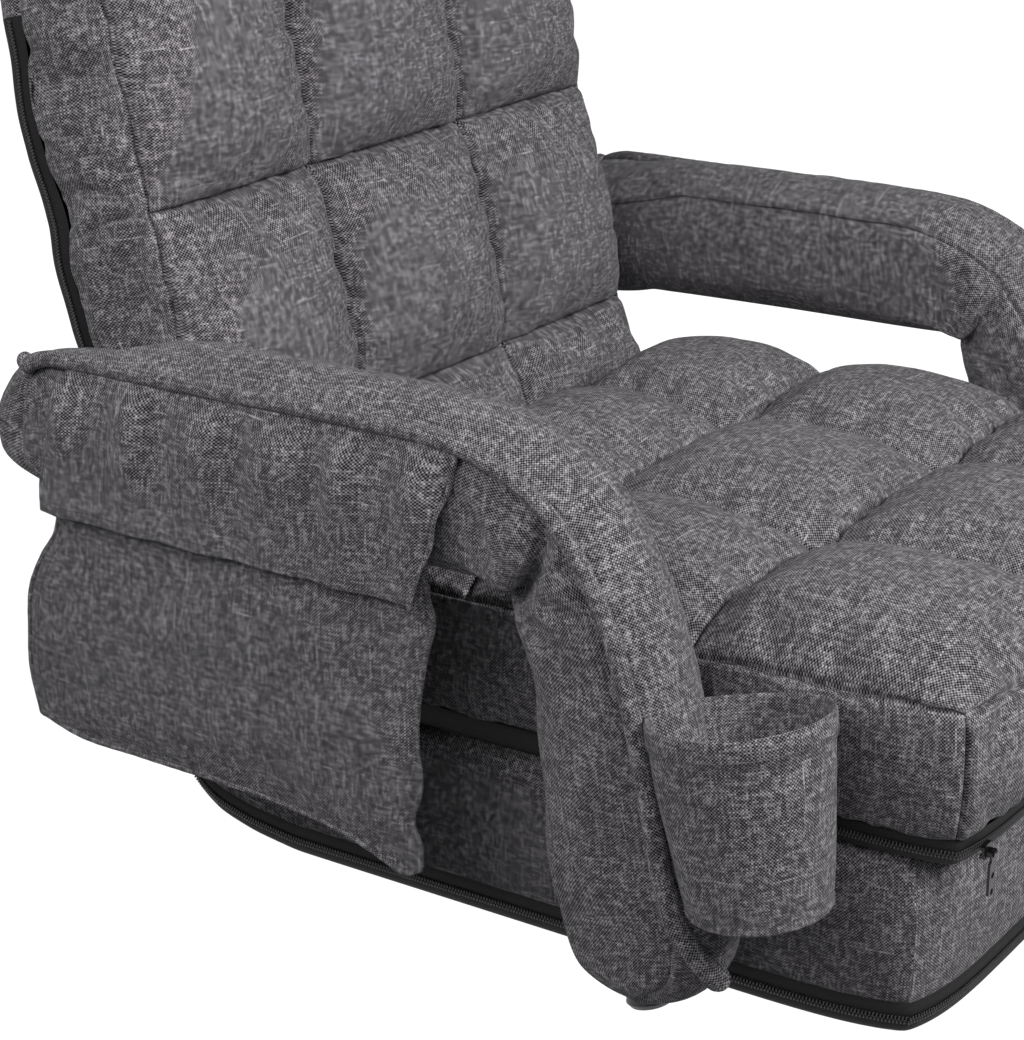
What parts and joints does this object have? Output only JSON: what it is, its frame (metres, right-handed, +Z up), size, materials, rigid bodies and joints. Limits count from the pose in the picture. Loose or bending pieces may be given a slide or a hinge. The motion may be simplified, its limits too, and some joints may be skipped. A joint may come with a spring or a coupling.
{
  "type": "folding floor chair",
  "caption": "Low folding floor chair with a tufted reclining backrest, linkage arms, a side pocket and a cup holder.",
  "frame": {"origin": "centre of the base layer's underside, on the floor", "axes": "+Z up, the sitter faces -Y, the arm with the pocket and cup holder is at -X"},
  "size_m": [0.722, 0.7471, 0.7542],
  "materials": {
    "linen": "slubby linen-look weave",
    "black_cloth": "plain black cloth",
    "foam": "open-cell foam",
    "frame_steel": "satin powder coat",
    "zinc": "zinc plated",
    "zip": "moulded",
    "foot_plastic": "smooth moulded cap"
  },
  "bodies": {
    "base": {"base_cover": "linen", "base_underside": "black_cloth", "base_zip_band": "black_cloth", "base_zip_chain": "zip", "base_foam": "foam", "seat_frame": "frame_steel", "seat_underside": "black_cloth", "seat_zip_chain": "zip", "seat_cushion": "linen", "hinge_fixed_plates": "frame_steel", "hinge_pins": "zinc", "pawl_rivets": "zinc", "leg_brackets": "frame_steel", "leg_pivot_pins": "zinc"},
    "back": {"back_cushion": "linen", "back_foam": "foam", "back_cover": "linen", "back_rear_panel": "black_cloth", "back_zip_chain": "zip", "back_frame": "frame_steel", "hinge_moving_plates": "frame_steel", "plate_bolts": "zinc", "arm_stubs": "zinc"},
    "pawls": {"ratchet_pawls": "frame_steel"},
    "right_leg": {"right_leg_post": "frame_steel", "right_leg_pad": "linen", "right_leg_foot": "foot_plastic", "right_elbow_pin": "zinc", "cup_holder": "linen"},
    "right_arm": {"right_arm_rail": "frame_steel", "right_arm_pad": "linen", "pocket_pouch": "linen"},
    "left_leg": {"left_leg_post": "frame_steel", "left_leg_pad": "linen", "left_leg_foot": "foot_plastic", "left_elbow_pin": "zinc"},
    "left_arm": {"left_arm_rail": "frame_steel", "left_arm_pad": "linen"},
    "pocket_flap": {"pocket_flap": "linen"},
    "zip_slider": {"zip_slider": "zip"},
    "zip_pull": {"zip_pull": "zip"}
  },
  "joints": [
    {"name": "recline", "type": "hinge", "parent": "base", "child": "back", "pos_m": [0, 0.258, 0.1776], "axis": [-1, 0, 0], "range_deg": [-10, 76]},
    {"name": "right_leg_swing", "type": "hinge", "parent": "base", "child": "right_leg", "pos_m": [-0.306, -0.09352, 0.15873], "axis": [-1, 0, 0], "range_deg": [-10, 76]},
    {"name": "left_leg_swing", "type": "hinge", "parent": "base", "child": "left_leg", "pos_m": [0.306, -0.09352, 0.15873], "axis": [-1, 0, 0], "range_deg": [-10, 76]},
    {"name": "right_elbow", "type": "hinge", "parent": "right_leg", "child": "right_arm", "pos_m": [-0.306, -0.062, 0.29], "axis": [-1, 0, 0], "range_deg": [-76, 10]},
    {"name": "left_elbow", "type": "hinge", "parent": "left_leg", "child": "left_arm", "pos_m": [0.306, -0.062, 0.29], "axis": [-1, 0, 0], "range_deg": [-76, 10]},
    {"name": "pawl_lift", "type": "hinge", "parent": "base", "child": "pawls", "pos_m": [0, 0.27, 0.1456], "axis": [-1, 0, 0], "range_deg": [0, 12]},
    {"name": "flap_lift", "type": "hinge", "parent": "right_arm", "child": "pocket_flap", "pos_m": [-0.34955, 0, 0.349], "axis": [0, 1, 0], "range_deg": [0, 150]},
    {"name": "zip_slide", "type": "slide", "parent": "base", "child": "zip_slider", "axis": [1, 0, 0], "range_m": [0, 0.46]},
    {"name": "pull_swing", "type": "hinge", "parent": "zip_slider", "child": "zip_pull", "pos_m": [-0.23, -0.3095, 0.1243], "axis": [-1, 0, 0], "range_deg": [-20, 150]}
  ],
  "couplings": [
    {"joint": "right_leg_swing", "follows": "recline", "ratio": 1},
    {"joint": "left_leg_swing", "follows": "recline", "ratio": 1},
    {"joint": "right_elbow", "follows": "recline", "ratio": -1},
    {"joint": "left_elbow", "follows": "recline", "ratio": -1}
  ]
}
